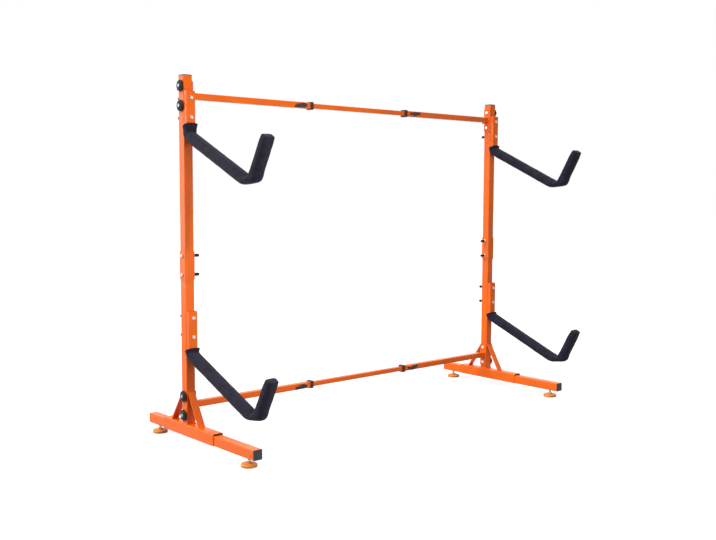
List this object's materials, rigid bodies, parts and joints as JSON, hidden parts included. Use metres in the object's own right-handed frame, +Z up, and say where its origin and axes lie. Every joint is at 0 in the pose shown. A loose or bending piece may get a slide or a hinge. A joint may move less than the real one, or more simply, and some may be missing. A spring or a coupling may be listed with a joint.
{
  "type": "kayak stand",
  "caption": "Freestanding two-tier kayak stand: two steel uprights on levelling feet, joined by telescopic rails with cam levers, with padded hooked arms.",
  "frame": {"origin": "on the floor, at the middle of the stand's outline in plan", "axes": "+X along the rails from the left upright to the right one, the arms reach towards -Y, +Z up"},
  "size_m": [1.8106, 0.8346, 1.408],
  "materials": {
    "orange_paint": "satin orange powder coat",
    "zinc": "bright zinc plate",
    "black_plastic": "moulded, fine grain",
    "grey_plastic": "moulded, fine grain",
    "amber_plastic": "moulded, satin",
    "black_foam": null
  },
  "bodies": {
    "left_stand": {"left_foot_beam": "orange_paint", "left_foot_frame": "orange_paint", "left_foot_front_plug": "grey_plastic", "left_foot_rear_plug": "grey_plastic", "left_lower_arm": "orange_paint", "left_lower_arm_lower_bolt": "zinc", "left_lower_arm_pad": "black_foam", "left_lower_arm_upper_bolt": "zinc", "left_lower_coupler_bolt": "zinc", "left_lower_rail_collar": "black_plastic", "left_lower_rail_tube": "orange_paint", "left_post_cap": "black_plastic", "left_post_coupler": "orange_paint", "left_upper_arm": "orange_paint", "left_upper_arm_lower_bolt": "zinc", "left_upper_arm_pad": "black_foam", "left_upper_arm_upper_bolt": "zinc", "left_upper_coupler_bolt": "zinc", "left_upper_post": "orange_paint", "left_upper_rail_collar": "black_plastic", "left_upper_rail_tube": "orange_paint"},
    "right_stand": {"right_foot_beam": "orange_paint", "right_foot_frame": "orange_paint", "right_foot_front_plug": "grey_plastic", "right_foot_rear_plug": "grey_plastic", "right_lower_arm": "orange_paint", "right_lower_arm_lower_bolt": "zinc", "right_lower_arm_pad": "black_foam", "right_lower_arm_upper_bolt": "zinc", "right_lower_coupler_bolt": "zinc", "right_lower_rail_collar": "black_plastic", "right_lower_rail_tube": "orange_paint", "right_post_cap": "black_plastic", "right_post_coupler": "orange_paint", "right_upper_arm": "orange_paint", "right_upper_arm_lower_bolt": "zinc", "right_upper_arm_pad": "black_foam", "right_upper_arm_upper_bolt": "zinc", "right_upper_coupler_bolt": "zinc", "right_upper_post": "orange_paint", "right_upper_rail_collar": "black_plastic", "right_upper_rail_tube": "orange_paint"},
    "upper_inner_rail": {"upper_inner_rail": "orange_paint"},
    "lower_inner_rail": {"lower_inner_rail": "orange_paint"},
    "left_front_levelling_foot": {"left_front_levelling_foot": "amber_plastic"},
    "left_lower_rail_lever": {"left_lower_rail_lever": "grey_plastic"},
    "left_lower_rail_lower_knob": {"left_lower_rail_lower_knob": "black_plastic"},
    "left_lower_rail_upper_knob": {"left_lower_rail_upper_knob": "black_plastic"},
    "left_rear_levelling_foot": {"left_rear_levelling_foot": "amber_plastic"},
    "left_upper_rail_lever": {"left_upper_rail_lever": "grey_plastic"},
    "left_upper_rail_lower_knob": {"left_upper_rail_lower_knob": "black_plastic"},
    "left_upper_rail_upper_knob": {"left_upper_rail_upper_knob": "black_plastic"},
    "right_front_levelling_foot": {"right_front_levelling_foot": "amber_plastic"},
    "right_lower_rail_lever": {"right_lower_rail_lever": "grey_plastic"},
    "right_lower_rail_lower_knob": {"right_lower_rail_lower_knob": "black_plastic"},
    "right_lower_rail_upper_knob": {"right_lower_rail_upper_knob": "black_plastic"},
    "right_rear_levelling_foot": {"right_rear_levelling_foot": "amber_plastic"},
    "right_upper_rail_lever": {"right_upper_rail_lever": "grey_plastic"},
    "right_upper_rail_lower_knob": {"right_upper_rail_lower_knob": "black_plastic"},
    "right_upper_rail_upper_knob": {"right_upper_rail_upper_knob": "black_plastic"}
  },
  "joints": [
    {"name": "width_adjust", "type": "slide", "parent": "left_stand", "child": "right_stand", "axis": [1, 0, 0], "range_m": [-0.53, 0.08]},
    {"name": "upper_inner_rail_slide", "type": "slide", "parent": "left_stand", "child": "upper_inner_rail", "axis": [1, 0, 0], "range_m": [-0.265, 0.04]},
    {"name": "lower_inner_rail_slide", "type": "slide", "parent": "left_stand", "child": "lower_inner_rail", "axis": [1, 0, 0], "range_m": [-0.265, 0.04]},
    {"name": "left_upper_rail_lever_pivot", "type": "hinge", "parent": "left_stand", "child": "left_upper_rail_lever", "pos_m": [-0.3115, 0.12505, 1.33], "axis": [0, 0, 1], "range_deg": [0, 100]},
    {"name": "left_upper_rail_upper_knob_turn", "type": "hinge", "parent": "left_stand", "child": "left_upper_rail_upper_knob", "pos_m": [-0.8928, 0.14355, 1.367], "axis": [-1, 0, 0], "continuous": true},
    {"name": "left_upper_rail_lower_knob_turn", "type": "hinge", "parent": "left_stand", "child": "left_upper_rail_lower_knob", "pos_m": [-0.8928, 0.14355, 1.293], "axis": [-1, 0, 0], "continuous": true},
    {"name": "left_lower_rail_lever_pivot", "type": "hinge", "parent": "left_stand", "child": "left_lower_rail_lever", "pos_m": [-0.3115, 0.12505, 0.151], "axis": [0, 0, 1], "range_deg": [0, 100]},
    {"name": "left_lower_rail_upper_knob_turn", "type": "hinge", "parent": "left_stand", "child": "left_lower_rail_upper_knob", "pos_m": [-0.8928, 0.14355, 0.188], "axis": [-1, 0, 0], "continuous": true},
    {"name": "left_lower_rail_lower_knob_turn", "type": "hinge", "parent": "left_stand", "child": "left_lower_rail_lower_knob", "pos_m": [-0.8928, 0.14355, 0.114], "axis": [-1, 0, 0], "continuous": true},
    {"name": "left_front_levelling_foot_turn", "type": "hinge", "parent": "left_stand", "child": "left_front_levelling_foot", "pos_m": [-0.8735, -0.25945, 0], "axis": [0, 0, 1], "continuous": true},
    {"name": "left_rear_levelling_foot_turn", "type": "hinge", "parent": "left_stand", "child": "left_rear_levelling_foot", "pos_m": [-0.8735, 0.36455, 0], "axis": [0, 0, 1], "continuous": true},
    {"name": "right_upper_rail_lever_pivot", "type": "hinge", "parent": "right_stand", "child": "right_upper_rail_lever", "pos_m": [0.3115, 0.12505, 1.33], "axis": [0, 0, -1], "range_deg": [0, 100]},
    {"name": "right_upper_rail_upper_knob_turn", "type": "hinge", "parent": "right_stand", "child": "right_upper_rail_upper_knob", "pos_m": [0.8928, 0.14355, 1.367], "axis": [1, 0, 0], "continuous": true},
    {"name": "right_upper_rail_lower_knob_turn", "type": "hinge", "parent": "right_stand", "child": "right_upper_rail_lower_knob", "pos_m": [0.8928, 0.14355, 1.293], "axis": [1, 0, 0], "continuous": true},
    {"name": "right_lower_rail_lever_pivot", "type": "hinge", "parent": "right_stand", "child": "right_lower_rail_lever", "pos_m": [0.3115, 0.12505, 0.151], "axis": [0, 0, -1], "range_deg": [0, 100]},
    {"name": "right_lower_rail_upper_knob_turn", "type": "hinge", "parent": "right_stand", "child": "right_lower_rail_upper_knob", "pos_m": [0.8928, 0.14355, 0.188], "axis": [1, 0, 0], "continuous": true},
    {"name": "right_lower_rail_lower_knob_turn", "type": "hinge", "parent": "right_stand", "child": "right_lower_rail_lower_knob", "pos_m": [0.8928, 0.14355, 0.114], "axis": [1, 0, 0], "continuous": true},
    {"name": "right_front_levelling_foot_turn", "type": "hinge", "parent": "right_stand", "child": "right_front_levelling_foot", "pos_m": [0.8735, -0.25945, 0], "axis": [0, 0, 1], "continuous": true},
    {"name": "right_rear_levelling_foot_turn", "type": "hinge", "parent": "right_stand", "child": "right_rear_levelling_foot", "pos_m": [0.8735, 0.36455, 0], "axis": [0, 0, 1], "continuous": true}
  ],
  "couplings": [
    {"joint": "upper_inner_rail_slide", "follows": "width_adjust", "ratio": 0.5},
    {"joint": "lower_inner_rail_slide", "follows": "width_adjust", "ratio": 0.5}
  ]
}
